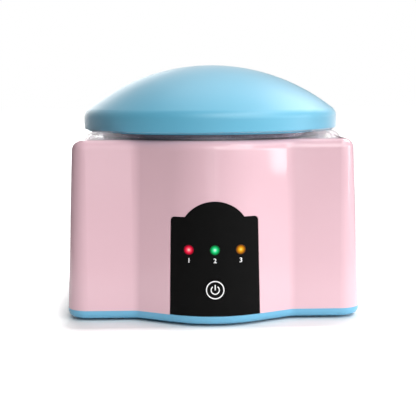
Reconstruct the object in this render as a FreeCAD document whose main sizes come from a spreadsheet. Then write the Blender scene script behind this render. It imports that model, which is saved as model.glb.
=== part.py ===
"""Gel polish remover: a heated steam pot in a lobed housing, with a clear finger cover and a domed lid.

Millimetres, +Z up, front towards -Y. The origin is on the surface the machine stands on, under
the middle of the pot.
"""
import FreeCAD, Part
import math
import os
import re

import Sketcher
from FreeCAD import Placement, Rotation, Vector

# ---------------------------------------------------------------- sizes
SIZES = {
    # how far a cutting form runs past what it cuts, and how far a moulded boss is sunk in its wall
    "overrun": 1,
    "bond": 0.5,
    # outline of the housing at its lower edge, set by the room it leaves round the pot: a round bulge
    # in the middle of the front and of the back, and two hollow valleys up to the flat shoulders
    "side_room": 19.6,
    "front_room": 20.5,
    "bulge_radius": 54,
    "shoulder_step": 16.7,
    "corner_radius": 13,
    "valley_radius": 8,
    # heights above the table
    "foot_height": 1.5,
    "seam_height": 6.5,
    "body_top": 106.7,
    # housing
    "draft_inset": 4.5,
    "top_rounding": 5.9,
    "wall": 2.6,
    "roof": 2.6,
    "post_inset_x": 19,
    "post_inset_y": 20.8,
    "post_radius": 4,
    "post_low": 10,
    "pilot_radius": 1.3,
    "pilot_depth": 14,
    # base cover
    "base_floor": 2.2,
    "base_rounding": 3.5,
    "tongue_rise": 3,
    "tongue_wall": 1.6,
    "fit_gap": 0.25,
    "foot_radius": 7,
    "foot_recess": 1,
    "foot_inset_x": 17,
    "foot_inset_y": 1,
    "vent_length": 26,
    "vent_width": 3,
    "vent_pitch": 8,
    "vent_count": 6,
    # base screws
    "screw_radius": 1.25,
    "screw_head_radius": 2.9,
    "screw_head": 1.8,
    "screw_sink": 2.2,
    "screw_bite": 10,
    # pot
    "pot_radius": 68,
    "pot_wall": 1.5,
    "pot_flange_width": 2,
    "pot_flange": 2.1,
    "pot_seal": 0.6,
    "pot_depth": 44,
    "well_radius": 24,
    "well_depth": 6,
    # heater under the well
    "heater_edge": 2,
    "heater_height": 6,
    "clamp_edge": 5,
    "clamp_sheet": 1.2,
    "stud_out": 7,
    "stud_radius": 1.5,
    "stud_end": 1,
    "thread_gap": 0.06,
    "nut_across": 5.5,
    "nut_height": 2.4,
    "shield_edge": 13,
    "shield_drop": 6,
    "shield_sheet": 0.8,
    "shield_rim": 6,
    "thermostat_inset": 13,
    "thermostat_radius": 7.9,
    "thermostat_height": 9,
    "ear_half": 3,
    "ear_reach": 4,
    "ear_sheet": 1,
    "fuse_radius": 2,
    "fuse_length": 12,
    # clear finger cover
    "cover_inset": 6,
    "cover_corner": 11,
    "cover_slope": 3,
    "cover_rounding": 7.5,
    "cover_rise": 4.9,
    "cover_wall": 1.6,
    "flange_gap": 0.6,
    "port_count": 5,
    "port_circle": 45,
    "port_radius": 10,
    "port_spread": 4,
    "collar_wall": 1.6,
    "collar_rise": 4,
    "collar_drop": 5,
    # dome lid
    "rim_room": 13.7,
    "rim_sink": 0.5,
    "rim_height": 7.7,
    "rim_edge": 0.8,
    "crown_radius": 128,
    "crease_rounding": 6.5,
    "lid_wall": 2.5,
    "lip_wall": 2.5,
    "lip_drop": 1,
    "lip_rise": 3,
    "lip_gap": 0.5,
    # control panel
    "panel_foot_half": 26,
    "panel_half": 25,
    "panel_shoulder": 63.5,
    "panel_arch_rise": 9,
    "panel_arch_radius": 20.5,
    "panel_corner": 2.3,
    "panel_sheet": 1.2,
    "panel_sunk": 0.1,
    "lamp_height": 44.9,
    "lamp_pitch": 14.9,
    "lamp_radius": 2.9,
    "lamp_fit": 0.05,
    "button_height": 22,
    "button_radius": 6.2,
    "button_proud": 0.15,
    "button_gap": 0.2,
    "button_travel": 0.5,
    "button_flange": 1.4,
    "button_flange_sheet": 1.2,
    "button_play": 0.45,
    "button_stem_radius": 2.4,
    # control board behind the panel
    "board_gap": 0.45,
    "board_sheet": 1.6,
    "board_half": 20,
    "board_under": 10.5,
    "board_over": 11,
    "board_screw_x": 16,
    "board_screw_in": 4,
    "board_boss_radius": 2.6,
    "board_screw_radius": 1,
    "board_head_radius": 2.2,
    "led_radius": 2.5,
    "led_height": 3.4,
    "switch_half": 3,
    "switch_body": 1.6,
    "switch_floor": 0.3,
    "plunger_radius": 1.7,
    "plunger_gap": 0.06,
    # supply board and inlet
    "supply_half_x": 34,
    "supply_low_y": 6,
    "supply_high_y": 56,
    "supply_height": 11,
    "supply_sheet": 1.6,
    "supply_inset": 4,
    "supply_bite": 4,
    "transformer_x": -16,
    "transformer_y": 26,
    "transformer_side": 20,
    "transformer_height": 16,
    "relay_x": 14,
    "relay_y": 20,
    "relay_length": 16,
    "relay_width": 12,
    "relay_height": 15,
    "capacitor_y": 36,
    "capacitor_radius": 5,
    "capacitor_height": 16,
    "terminal_length": 16,
    "terminal_width": 8,
    "terminal_height": 9,
    "mains_terminal_y": 50,
    "heater_terminal_x": -2,
    "heater_terminal_y": 11,
    "inlet_height": 23,
    "inlet_set": 2.2,
    "inlet_pad": 3,
    "inlet_flange": 1.6,
    "inlet_flange_x": 12.2,
    "inlet_flange_z": 8.2,
    "inlet_half_x": 10,
    "inlet_half_z": 6.4,
    "inlet_length": 20,
    "socket_radius": 4.2,
    "socket_depth": 15,
    "waist_step": 1,
    "pin_pitch": 8.6,
    "pin_radius": 1.2,
    "pin_length": 12,
    "pin_tail": 8,
    # wiring
    "lead_radius": 1,
    "lead_apart": 8,
    "lead_out": 9,
    "lead_clear": 1.5,
    "bend_share": 0.45,
    "ribbon_x": 12,
    "ribbon_width": 8,
    "ribbon_sheet": 0.8,
    "ribbon_land": 6,
    "ribbon_sag": 8,
    "ribbon_up": 30,
}

# Lengths that follow from the sizes, each an expression of sizes and of the lengths above it.
FOLLOWS = {
    # outline, posts and feet
    "half_width": "pot_radius + side_room",
    "bulge_reach": "pot_radius + front_room",
    "shoulder_reach": "bulge_reach - shoulder_step",
    "bulge_centre": "bulge_reach - bulge_radius",
    "pot_flange_radius": "pot_radius + pot_flange_width",
    "flange_rise": "cover_slope * (pot_seal + pot_flange) / (cover_rise - cover_wall)",
    "valley_room": "draft_inset + cover_inset + cover_wall + flange_rise + flange_gap",
    "valley_away": "pot_flange_radius + valley_room + valley_radius",
    "valley_centre": "sqrt(valley_away^2 - (shoulder_reach + valley_radius)^2)",
    "post_x": "half_width - post_inset_x",
    "post_y": "shoulder_reach - post_inset_y",
    "foot_x": "post_x - foot_inset_x",
    "foot_y": "post_y - foot_inset_y",
    # heights of the pot and of what hangs under it
    "seal_top": "body_top + pot_seal",
    "flange_top": "seal_top + pot_flange",
    "pot_floor": "body_top - pot_depth",
    "floor_under": "pot_floor - pot_wall",
    "well_floor": "pot_floor - well_depth",
    "well_under": "well_floor - pot_wall",
    "heater_under": "well_under - heater_height",
    "clamp_under": "heater_under - clamp_sheet",
    "shield_top": "clamp_under - shield_drop",
    "shield_under": "shield_top - shield_sheet",
    "stud_low": "shield_under - nut_height - stud_end",
    # what the pot carries, outwards from its well
    "heater_radius": "well_radius - heater_edge",
    "stud_circle": "well_radius + stud_out",
    "clamp_radius": "stud_circle + clamp_edge",
    "shield_radius": "stud_circle + shield_edge",
    "thermostat_x": "pot_radius - thermostat_inset",
    # housing and base
    "roof_under": "body_top - roof",
    "base_inside": "foot_height + base_floor",
    "head_top": "post_low - screw_sink",
    "supply_top": "supply_height + supply_sheet",
    "front_clear": "bulge_reach + overrun",
    # control unit: the board's upper corners and the key's flange lie close behind the bulge's wall
    "board_low": "button_height - board_under",
    "board_high": "lamp_height + board_over",
    "board_draft": "draft_inset * (board_high - seam_height) / (body_top - seam_height)",
    "button_draft": "draft_inset * (button_height - seam_height) / (body_top - seam_height)",
    "board_front": "bulge_centre + sqrt((bulge_radius - board_draft - wall)^2 - board_half^2) - board_gap",
    "board_back": "board_front - board_sheet",
    "lamp_back": "board_front + led_height",
    "switch_front": "board_front + switch_body",
    "stop_radius": "button_radius + button_flange",
    "stop_front": "bulge_centre + sqrt((bulge_radius - button_draft - wall)^2 - stop_radius^2) - button_play",
    "stop_back": "stop_front - button_flange_sheet",
    "inlet_face": "bulge_reach - inlet_set",
    "inlet_back": "inlet_face - inlet_length",
    # wiring: where it starts, ends and passes
    "tail_end": "inlet_face - socket_depth - pin_tail",
    "terminal_mid": "supply_top + terminal_height / 2",
    "mains_side": "mains_terminal_y + terminal_width / 2",
    "heater_side": "heater_terminal_y - terminal_width / 2",
    "heater_mid": "heater_under + heater_height / 2",
    "thermostat_under": "floor_under - thermostat_height",
    "thermostat_side": "thermostat_x - thermostat_radius",
    "well_side": "well_radius + pot_wall",
    "fuse_middle": "clamp_under - fuse_radius",
    "rim_over": "shield_top + shield_rim + lead_radius + lead_clear",
    "drop_y": "shield_radius + lead_out",
    "ribbon_top": "supply_top + ribbon_sheet / 2",
    # finger cover and lid
    "cover_top": "body_top + cover_rise",
    "rim_bottom": "cover_top - rim_sink",
    "groove_floor": "rim_bottom - lip_drop",
    "rim_radius": "pot_radius + rim_room",
    "lip_outer": "rim_radius - lid_wall",
    "lip_inner": "lip_outer - lip_wall",
    "bend_height": "sqrt((crown_radius - crease_rounding)^2 - (rim_radius - crease_rounding)^2)",
    "crown_centre": "rim_bottom + rim_height - bend_height",
    "crown_top": "crown_centre + crown_radius",
    "inner_crown": "crown_radius - lid_wall",
}

doc = FreeCAD.newDocument("GelPolishRemover")
sheet = doc.addObject("Spreadsheet::Sheet", "Sizes")
for row, (size_name, size) in enumerate(SIZES.items(), start=1):
    sheet.set(f"A{row}", size_name)
    sheet.set(f"B{row}", str(size))
    sheet.setAlias(f"B{row}", size_name)
doc.recompute()


# ---------------------------------------------------------------- expressions
def tied(text):
    """The expression with each length that follows written out, and each size as its cell in the sheet."""
    def written(word):
        name = word[0]
        if name in FOLLOWS:
            return f"({tied(FOLLOWS[name])})"
        return f"Sizes.{name}" if name in SIZES else name
    return re.sub(r"[a-z]+(?:_[a-z]+)*", written, text)


def number(text):
    return float(sheet.evalExpression(tied(text)))


def tie(item, **properties):
    """Bind properties of an object to expressions on the sheet."""
    for name, text in properties.items():
        item.setExpression(name, tied(text))
    return item


def move(item, x="0", y="0", z="0"):
    for axis, text in zip("xyz", (x, y, z)):
        item.setExpression(f"Placement.Base.{axis}", tied(text))
    return item


# ---------------------------------------------------------------- solids
Z_AXIS = Vector(0, 0, 1)


def cylinder(name, radius, height, x="0", y="0", z="0", turn=None):
    item = doc.addObject("Part::Cylinder", name)
    if turn:
        item.Placement = Placement(Vector(), turn)
    tie(item, Radius=radius, Height=height)
    return move(item, x, y, z)


def block(name, low, high):
    """A box between two corners, each given as three expressions."""
    item = doc.addObject("Part::Box", name)
    length, width, height = (f"({top}) - ({bottom})" for bottom, top in zip(low, high))
    tie(item, Length=length, Width=width, Height=height)
    return move(item, *low)


def fuse(name, shapes, refine=True):
    item = doc.addObject("Part::MultiFuse", name)
    item.Shapes = shapes
    item.Refine = refine
    return item


def common(name, shapes):
    item = doc.addObject("Part::MultiCommon", name)
    item.Shapes = shapes
    item.Refine = True
    return item


def cut(name, base, tools):
    item = doc.addObject("Part::Cut", name)
    item.Base = base
    item.Tool = tools[0] if len(tools) == 1 else fuse(f"{name}_tools", tools, refine=False)
    item.Refine = True
    return item


def group(name, shapes):
    """Like pieces that stay separate solids in one sub-part."""
    item = doc.addObject("Part::Compound", name)
    item.Links = shapes
    return item


def rounded(name, form, height, radius):
    """Round every edge of a form that lies all at one height."""
    doc.recompute()
    level = number(height)
    reach = number(radius)
    box = [(edge.BoundBox.ZMin, edge.BoundBox.ZMax) for edge in form.Shape.Edges]
    flat = [i for i, (low, high) in enumerate(box, start=1) if abs(low - level) + abs(high - level) < 1e-4]
    item = doc.addObject("Part::Fillet", name)
    item.Base = form
    item.Edges = [(i, reach, reach) for i in flat]
    return item


# ---------------------------------------------------------------- the lobed outline
def draft(height, inset="0"):
    """How far the outline lies inside the lower edge's at a height, on the drafted sides."""
    return f"(draft_inset * (({height}) - seam_height) / (body_top - seam_height) + ({inset}))"


def outline_quarter(name, height, inset, corner):
    """A quarter of the outline, from the middle of the front to the middle of the right side."""
    step = number(inset)
    corner_now = number(corner)
    side = number("half_width") - step
    face = number("shoulder_reach") - step
    bulge_centre = Vector(0, -number("bulge_centre"))
    bulge_now = number("bulge_radius") - step
    valley_centre = Vector(number("valley_centre"), -number("shoulder_reach + valley_radius"))
    valley_now = number("valley_radius") + step
    between = valley_centre - bulge_centre
    turn = math.atan2(between.y, between.x) - math.acos((bulge_now + valley_now) / between.Length)
    flank_normal = Vector(math.cos(turn), math.sin(turn))
    corner_centre = Vector(side - corner_now, corner_now - face)
    sketch = doc.addObject("Sketcher::SketchObject", name)
    bulge, flank, valley, shoulder, bend, flat_side, across, along = range(8)
    sketch.addGeometry([
        Part.ArcOfCircle(Part.Circle(bulge_centre, Z_AXIS, bulge_now), -math.pi / 2, turn),
        Part.LineSegment(bulge_centre + flank_normal * bulge_now, valley_centre - flank_normal * valley_now),
        Part.ArcOfCircle(Part.Circle(valley_centre, Z_AXIS, valley_now), math.pi / 2, turn + math.pi),
        Part.LineSegment(Vector(valley_centre.x, -face), Vector(corner_centre.x, -face)),
        Part.ArcOfCircle(Part.Circle(corner_centre, Z_AXIS, corner_now), -math.pi / 2, 0),
        Part.LineSegment(Vector(side, corner_centre.y), Vector(side, 0)),
        Part.LineSegment(Vector(side, 0), Vector(0, 0)),
        Part.LineSegment(Vector(0, 0), Vector(0, bulge_centre.y - bulge_now)),
    ], False)
    rule = Sketcher.Constraint
    sketch.addConstraint([
        rule("Tangent", bulge, 2, flank, 1),
        rule("Tangent", flank, 2, valley, 2),
        rule("Tangent", valley, 1, shoulder, 1),
        rule("Tangent", shoulder, 2, bend, 1),
        rule("Tangent", bend, 2, flat_side, 1),
        rule("Coincident", flat_side, 2, across, 1),
        rule("Coincident", across, 2, along, 1),
        rule("Coincident", along, 2, bulge, 1),
        rule("Coincident", across, 2, -1, 1),
        rule("PointOnObject", bulge, 3, -2),
        rule("Horizontal", shoulder),
        rule("Vertical", flat_side),
        rule("Horizontal", across),
        rule("Vertical", along),
    ])
    for kind, places, text in (
        ("Radius", (bulge,), f"bulge_radius - ({inset})"),
        ("Radius", (valley,), f"valley_radius + ({inset})"),
        ("Radius", (bend,), corner),
        ("DistanceY", (bulge, 1, -1, 1), f"bulge_reach - ({inset})"),
        ("DistanceX", (-1, 1, valley, 3), "valley_centre"),
        ("DistanceY", (shoulder, 1, -1, 1), f"shoulder_reach - ({inset})"),
        ("DistanceX", (-1, 1, flat_side, 1), f"half_width - ({inset})"),
    ):
        place = sketch.addConstraint(rule(kind, *places, number(text)))
        sketch.setExpression(f"Constraints[{place}]", tied(text))
    return move(sketch, z=height)


def mirrored(name, half, normal):
    other = doc.addObject("Part::Mirroring", f"{name}_mirror")
    other.Source = half
    other.Normal = normal
    return fuse(name, [half, other])


def lobed(name, levels):
    """A solid through quarter outlines, each a (height, inset, corner radius), mirrored to the whole."""
    loft = doc.addObject("Part::Loft", f"{name}_quarter")
    loft.Sections = [outline_quarter(f"{name}_level_{i}", *level) for i, level in enumerate(levels)]
    loft.Solid = True
    loft.Ruled = True
    front = mirrored(f"{name}_front", loft, Vector(1, 0, 0))
    return mirrored(name, front, Vector(0, 1, 0))


def drafted(name, low, high, inset):
    """A lobed solid with the housing's draft, a set distance inside its outer face."""
    levels = []
    for height in (low, high):
        step = draft(height, inset)
        levels.append((height, step, f"corner_radius - ({step})"))
    return lobed(name, levels)


# ---------------------------------------------------------------- sketched profiles
def profile(body, corners, plane="XZ_Plane", lift=None):
    """A closed sketch on one of the body's planes.

    A corner is two expressions. A corner with a radius and a turn, 1 to the left or -1 to the
    right, starts an arc to the next one. With None for its radius the arc is a half circle.
    """
    sketch = body.newObject("Sketcher::SketchObject", f"{body.Name}_profile")
    support = next(item for item in body.Origin.OriginFeatures if item.Role == plane)
    sketch.AttachmentSupport = [(support, "")]
    sketch.MapMode = "FlatFace"
    if lift:
        sketch.setExpression("AttachmentOffset.Base.z", tied(lift))
    points = [Vector(number(corner[0]), number(corner[1])) for corner in corners]
    starts = []
    ends = []
    for i, corner in enumerate(corners):
        here = points[i]
        there = points[(i + 1) % len(points)]
        if len(corner) == 2:
            sketch.addGeometry(Part.LineSegment(here, there), False)
            starts.append((i, 1))
            ends.append((i, 2))
            continue
        radius = number(corner[2]) if corner[2] else (there - here).Length / 2
        left = Vector(here.y - there.y, there.x - here.x).normalize()
        height = math.sqrt(max(radius ** 2 - (there - here).Length ** 2 / 4, 0))
        centre = (here + there) * 0.5 + left * (height * corner[3])
        ways = [math.atan2(point.y - centre.y, point.x - centre.x) for point in (here, there)]
        if corner[3] < 0:
            ways.reverse()
        sketch.addGeometry(Part.ArcOfCircle(Part.Circle(centre, Z_AXIS, radius), *ways), False)
        starts.append((i, 1 if corner[3] > 0 else 2))
        ends.append((i, 2 if corner[3] > 0 else 1))
    for i, corner in enumerate(corners):
        sketch.addConstraint(Sketcher.Constraint("Coincident", *ends[i - 1], *starts[i]))
        for kind, text in (("DistanceX", corner[0]), ("DistanceY", corner[1])):
            place = sketch.addConstraint(Sketcher.Constraint(kind, -1, 1, *starts[i], number(text)))
            sketch.setExpression(f"Constraints[{place}]", tied(text))
        if len(corner) > 2 and corner[2]:
            place = sketch.addConstraint(Sketcher.Constraint("Radius", i, number(corner[2])))
            sketch.setExpression(f"Constraints[{place}]", tied(corner[2]))
        elif len(corner) > 2:
            flat = abs(points[i].y - points[(i + 1) % len(points)].y) < 1e-6
            kind, text = ("DistanceY", corner[1]) if flat else ("DistanceX", corner[0])
            place = sketch.addConstraint(Sketcher.Constraint(kind, -1, 1, i, 3, number(text)))
            sketch.setExpression(f"Constraints[{place}]", tied(text))
    return sketch


def turned(name, corners):
    """A body turned about the vertical axis from a profile of (radius, height) corners."""
    body = doc.addObject("PartDesign::Body", name)
    sketch = profile(body, corners)
    turn = body.newObject("PartDesign::Revolution", f"{name}_turn")
    turn.Profile = sketch
    turn.ReferenceAxis = (sketch, ["V_Axis"])
    turn.Angle = 360
    sketch.Visibility = False
    return body


def padded(name, corners, plane, lift, length):
    """A body raised from a profile on a plane."""
    body = doc.addObject("PartDesign::Body", name)
    pad = body.newObject("PartDesign::Pad", f"{name}_pad")
    pad.Profile = profile(body, corners, plane, lift)
    tie(pad, Length=length)
    return body


def four(make, x, y):
    """One thing at each of four places, mirrored about both middle planes."""
    signs = (("", ""), ("-", ""), ("", "-"), ("-", "-"))
    return [make(i, f"{side}({x})", f"{end}({y})") for i, (side, end) in enumerate(signs)]


# ---------------------------------------------------------------- steam pot and its seal
def make_pot():
    """A drawn aluminium pan with a rolled-out flange, a shallow well and three welded studs."""
    pan = turned("pot_pan", [
        ("0", "well_under"),
        ("well_radius + pot_wall", "well_under"),
        ("well_radius + pot_wall", "floor_under"),
        ("pot_radius", "floor_under"),
        ("pot_radius", "seal_top"),
        ("pot_flange_radius", "seal_top"),
        ("pot_flange_radius", "flange_top"),
        ("pot_radius - pot_wall", "flange_top"),
        ("pot_radius - pot_wall", "pot_floor"),
        ("well_radius", "pot_floor"),
        ("well_radius", "well_floor"),
        ("0", "well_floor"),
    ])
    return fuse("steam_pot", [pan] + three("pot_stud", "stud_radius", "stud_low", "floor_under"))


def three(name, radius, low, high):
    """Three round rods on the stud circle."""
    rods = []
    for i in range(3):
        way = f"{90 + 120 * i}"
        x, y = f"stud_circle * cos({way})", f"stud_circle * sin({way})"
        rods.append(cylinder(f"{name}_{i}", radius, f"({high}) - ({low})", x, y, low))
    return rods


steam_pot = make_pot()
pot_seal = turned("pot_seal", [
    ("pot_radius + fit_gap", "body_top"),
    ("pot_flange_radius", "body_top"),
    ("pot_flange_radius", "seal_top"),
    ("pot_radius + fit_gap", "seal_top"),
])

# ---------------------------------------------------------------- heater stack on the pot's studs
heater_plate = cylinder("heater_plate", "heater_radius", "heater_height", z="heater_under")


def make_clamp():
    """A pressed steel disc that holds the heater against the well."""
    disc = cylinder("clamp_disc", "clamp_radius", "clamp_sheet", z="clamp_under")
    holes = three("clamp_hole", "stud_radius + fit_gap", "clamp_under - overrun", "heater_under + overrun")
    return cut("heater_clamp", disc, holes)


def make_shield():
    """A shallow tray that keeps the heat off the boards below."""
    tray = turned("shield_tray", [
        ("0", "shield_under"),
        ("shield_radius", "shield_under"),
        ("shield_radius", "shield_top + shield_rim"),
        ("shield_radius - shield_sheet", "shield_top + shield_rim"),
        ("shield_radius - shield_sheet", "shield_top"),
        ("0", "shield_top"),
    ])
    holes = three("shield_hole", "stud_radius + fit_gap", "shield_under - overrun", "shield_top + overrun")
    return cut("heat_shield", tray, holes)


def make_nuts():
    """Two hexagon nuts on each stud: one under the clamp, one under the shield."""
    nuts = []
    for level in ("clamp", "shield"):
        top = f"{level}_under"
        low = f"{top} - nut_height"
        bores = three(f"{level}_nut_bore", "stud_radius + thread_gap", f"{low} - overrun", f"{top} + overrun")
        for i, bore in enumerate(bores):
            blank = doc.addObject("Part::Prism", f"{level}_nut_blank_{i}")
            tie(blank, Circumradius="nut_across / sqrt(3)", Height="nut_height")
            way = f"{90 + 120 * i}"
            move(blank, f"stud_circle * cos({way})", f"stud_circle * sin({way})", low)
            nuts.append(cut(f"{level}_nut_{i}", blank, [bore]))
    return group("pot_nuts", nuts)


def make_thermostat():
    """A bimetal disc thermostat with its mounting ears, pressed to the pot's floor."""
    can = cylinder("thermostat_can", "thermostat_radius", "thermostat_height", x="thermostat_x",
                   z="floor_under - thermostat_height")
    ear = block("thermostat_ear",
                ("thermostat_x - ear_half", "-thermostat_radius - ear_reach", "floor_under - ear_sheet"),
                ("thermostat_x + ear_half", "thermostat_radius + ear_reach", "floor_under"))
    return fuse("thermostat", [can, ear])


heater_clamp = make_clamp()
heat_shield = make_shield()
pot_nuts = make_nuts()
thermostat = make_thermostat()
thermal_fuse = cylinder("thermal_fuse", "fuse_radius", "fuse_length", y="fuse_length / 2",
                        z="clamp_under - fuse_radius", turn=Rotation(Vector(1, 0, 0), 90))

# ---------------------------------------------------------------- housing
FRONT = Rotation(Vector(1, 0, 0), 90)  # turns a cylinder's length from +Z to -Y


def pin_front(name, radius, back, x, z):
    """A round rod along Y, from a set distance behind the front to clear of it."""
    return cylinder(name, radius, f"front_clear - ({back})", x, f"-({back})", z, FRONT)


def panel_prism(name, grow):
    """The control panel's arched outline, carried through the front of the housing."""
    shoulder = f"panel_shoulder + {grow}"
    arch = f"panel_arch_radius + {grow}"
    arch_x = f"sqrt(({arch})^2 - (panel_arch_radius - panel_arch_rise + {grow})^2)"
    foot = f"seam_height + fit_gap - {grow}"
    return padded(name, [
        (f"-panel_foot_half - {grow}", foot),
        (f"panel_foot_half + {grow}", foot),
        (f"panel_half + {grow}", f"{shoulder} - panel_corner", "panel_corner", 1),
        (f"panel_half + {grow} - panel_corner", shoulder),
        (arch_x, shoulder, arch, 1),
        (f"-{arch_x}", shoulder),
        (f"-panel_half - {grow} + panel_corner", shoulder, "panel_corner", 1),
        (f"-panel_half - {grow}", f"{shoulder} - panel_corner"),
    ], "XZ_Plane", "bulge_centre", "front_clear - bulge_centre")


LAMPS = {"red_lamp": "-lamp_pitch", "green_lamp": "0", "amber_lamp": "lamp_pitch"}
BOARD_LEVELS = ("board_low + board_screw_in", "board_high - board_screw_in")


def board_points():
    return [(side + "board_screw_x", level) for side in ("", "-") for level in BOARD_LEVELS]


def skin(name, inset, under="overrun"):
    """The housing's form a set distance inside its outer face, from below the seam to its top."""
    return drafted(name, f"seam_height - {under}", "body_top", inset)


def make_housing():
    """A glossy moulded shell, open below, with screw posts and bosses for the boards."""
    outer = rounded("housing_outer", skin("housing_form", "0", "0"), "body_top", "top_rounding")
    hollow = drafted("housing_hollow", "seam_height - overrun", "roof_under", "wall")
    inside = drafted("housing_bond", "seam_height", "roof_under", "wall - bond")
    posts = four(lambda i, x, y: cylinder(f"post_{i}", "post_radius", "body_top - post_low", x, y,
                                          "post_low"), "post_x", "post_y")
    bosses = [pin_front(f"board_boss_{i}", "board_boss_radius", "board_front", x, z)
              for i, (x, z) in enumerate(board_points())]
    inlet_pad = block("inlet_pad_block",
                      ("-inlet_flange_x - inlet_pad", "inlet_face - inlet_flange - wall",
                       "inlet_height - inlet_flange_z - inlet_pad"),
                      ("inlet_flange_x + inlet_pad", "bulge_reach",
                       "inlet_height + inlet_flange_z + inlet_pad"))
    fitting_parts = fuse("housing_fitting_parts", posts + bosses + [inlet_pad], refine=False)
    fittings = common("housing_fittings", [fitting_parts, inside])
    shell = fuse("housing_shell", [cut("housing_skin", outer, [hollow]), fittings])
    pilots = four(lambda i, x, y: cylinder(f"pilot_{i}", "pilot_radius", "pilot_depth + overrun", x, y,
                                           "post_low - overrun"), "post_x", "post_y")
    board_pilots = [cylinder(f"board_pilot_{i}", "board_screw_radius", "wall", x, "-board_front", z, FRONT)
                    for i, (x, z) in enumerate(board_points())]
    recess_floor = skin("recess_floor", "panel_sheet")
    recess = cut("panel_recess", panel_prism("recess_prism", "fit_gap"), [recess_floor])
    lamp_holes = [pin_front(f"{name}_hole", "lamp_radius + fit_gap", "board_front", x, "lamp_height")
                  for name, x in LAMPS.items()]
    button_hole = pin_front("button_hole", "button_radius + button_gap", "board_front", "0", "button_height")
    pot_hole = cylinder("pot_hole", "pot_radius + fit_gap", "roof + 2 * overrun", z="roof_under - overrun")
    inlet_seat = block("inlet_seat",
                       ("-inlet_flange_x - fit_gap", "inlet_face - inlet_flange",
                        "inlet_height - inlet_flange_z - fit_gap"),
                       ("inlet_flange_x + fit_gap", "front_clear",
                        "inlet_height + inlet_flange_z + fit_gap"))
    inlet_hole = block("inlet_hole",
                       ("-inlet_half_x - fit_gap", "inlet_back", "inlet_height - inlet_half_z - fit_gap"),
                       ("inlet_half_x + fit_gap", "bulge_reach", "inlet_height + inlet_half_z + fit_gap"))
    cuts = pilots + board_pilots + [recess] + lamp_holes + [button_hole, pot_hole, inlet_seat, inlet_hole]
    return cut("housing", shell, cuts)


housing = make_housing()

# ---------------------------------------------------------------- base cover, feet and screws
def make_base():
    """A tray that closes the housing from below, with a tongue that fits inside its wall."""
    levels = [(height, "0", "corner_radius") for height in ("foot_height", "seam_height")]
    tray_form = lobed("base_form", levels)
    tray = rounded("base_outer", tray_form, "foot_height", "base_rounding")
    tongue_in = "wall + fit_gap"
    tongue = drafted("base_tongue", "base_inside", "seam_height + tongue_rise", tongue_in)
    hollow = drafted("base_hollow", "base_inside", "seam_height + tongue_rise + overrun",
                     f"{tongue_in} + tongue_wall")
    tub = cut("base_tub", fuse("base_solid", [tray, tongue]), [hollow])
    low = "base_inside - bond"
    bosses = four(lambda i, x, y: cylinder(f"base_boss_{i}", "post_radius", f"post_low - ({low})", x, y, low),
                  "post_x", "post_y")
    supply = [cylinder(f"supply_boss_{i}", "board_boss_radius", f"supply_height - ({low})", x, y, low)
              for i, (x, y) in enumerate(supply_points())]
    holes = four(lambda i, x, y: cylinder(f"screw_hole_{i}", "screw_radius + fit_gap", "post_low + overrun",
                                          x, y), "post_x", "post_y")
    sinks = four(lambda i, x, y: cylinder(f"screw_sink_{i}", "screw_head_radius + fit_gap", "head_top", x, y),
                 "post_x", "post_y")
    recesses = four(lambda i, x, y: cylinder(f"foot_seat_{i}", "foot_radius + fit_gap",
                                             "foot_height + foot_recess", x, y), "foot_x", "foot_y")
    supply_pilots = [cylinder(f"supply_pilot_{i}", "board_screw_radius", "supply_bite + overrun", x, y,
                              "supply_height - supply_bite") for i, (x, y) in enumerate(supply_points())]
    return cut("base_cover", fuse("base_whole", [tub] + bosses + supply),
               holes + sinks + recesses + supply_pilots + [make_vents()])


def supply_points():
    return [(side + "(supply_half_x - supply_inset)", y)
            for side in ("", "-") for y in ("supply_low_y + supply_inset", "supply_high_y - supply_inset")]


def make_vents():
    """A row of round-ended air slots under the pot."""
    body = padded("vents", [
        ("vent_pitch / 2 - vent_width / 2", "-vent_length", None, 1),
        ("vent_pitch / 2 + vent_width / 2", "-vent_length"),
        ("vent_pitch / 2 + vent_width / 2", "-vent_width", None, 1),
        ("vent_pitch / 2 - vent_width / 2", "-vent_width"),
    ], "XY_Plane", "0", "base_inside + overrun")
    row = body.newObject("PartDesign::LinearPattern", "vent_row")
    row.Originals = [doc.getObject("vents_pad")]
    row.Direction = (next(item for item in body.Origin.OriginFeatures if item.Role == "X_Axis"), [""])
    tie(row, Length="vent_pitch * (vent_count / 2 - 1)", Occurrences="vent_count / 2")
    body.Tip = row
    other = doc.addObject("Part::Mirroring", "vents_left")
    other.Source = body
    other.Normal = Vector(1, 0, 0)
    return fuse("vent_slots", [body, other])


def make_screw(name, x, y):
    """A pan-head screw driven up through the base into a housing post."""
    head = cylinder(f"{name}_head", "screw_head_radius", "screw_head", x, y, "head_top - screw_head")
    shank = cylinder(f"{name}_shank", "screw_radius", "screw_sink + screw_bite", x, y, "head_top")
    return fuse(name, [head, shank])


base_cover = make_base()
rubber_feet = group("rubber_feet", four(
    lambda i, x, y: cylinder(f"foot_{i}", "foot_radius", "foot_height + foot_recess", x, y),
    "foot_x", "foot_y"))
base_screws = group("base_screws", four(
    lambda i, x, y: make_screw(f"base_screw_{i}", x, y), "post_x", "post_y"))


# ---------------------------------------------------------------- control panel, lamps and button
def make_panel():
    """A thin moulded fascia, bent to the bulge, seated in the housing's recess."""
    blank = common("panel_blank", [panel_prism("panel_prism", "0"), skin("panel_front", "panel_sunk")])
    windows = [pin_front(f"{name}_window", "lamp_radius + lamp_fit", "board_front", x, "lamp_height")
               for name, x in LAMPS.items()]
    windows.append(pin_front("button_window", "button_radius + button_gap", "board_front", "0",
                             "button_height"))
    return cut("control_panel", blank, [skin("panel_back", "panel_sheet", "2 * overrun")] + windows)


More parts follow.
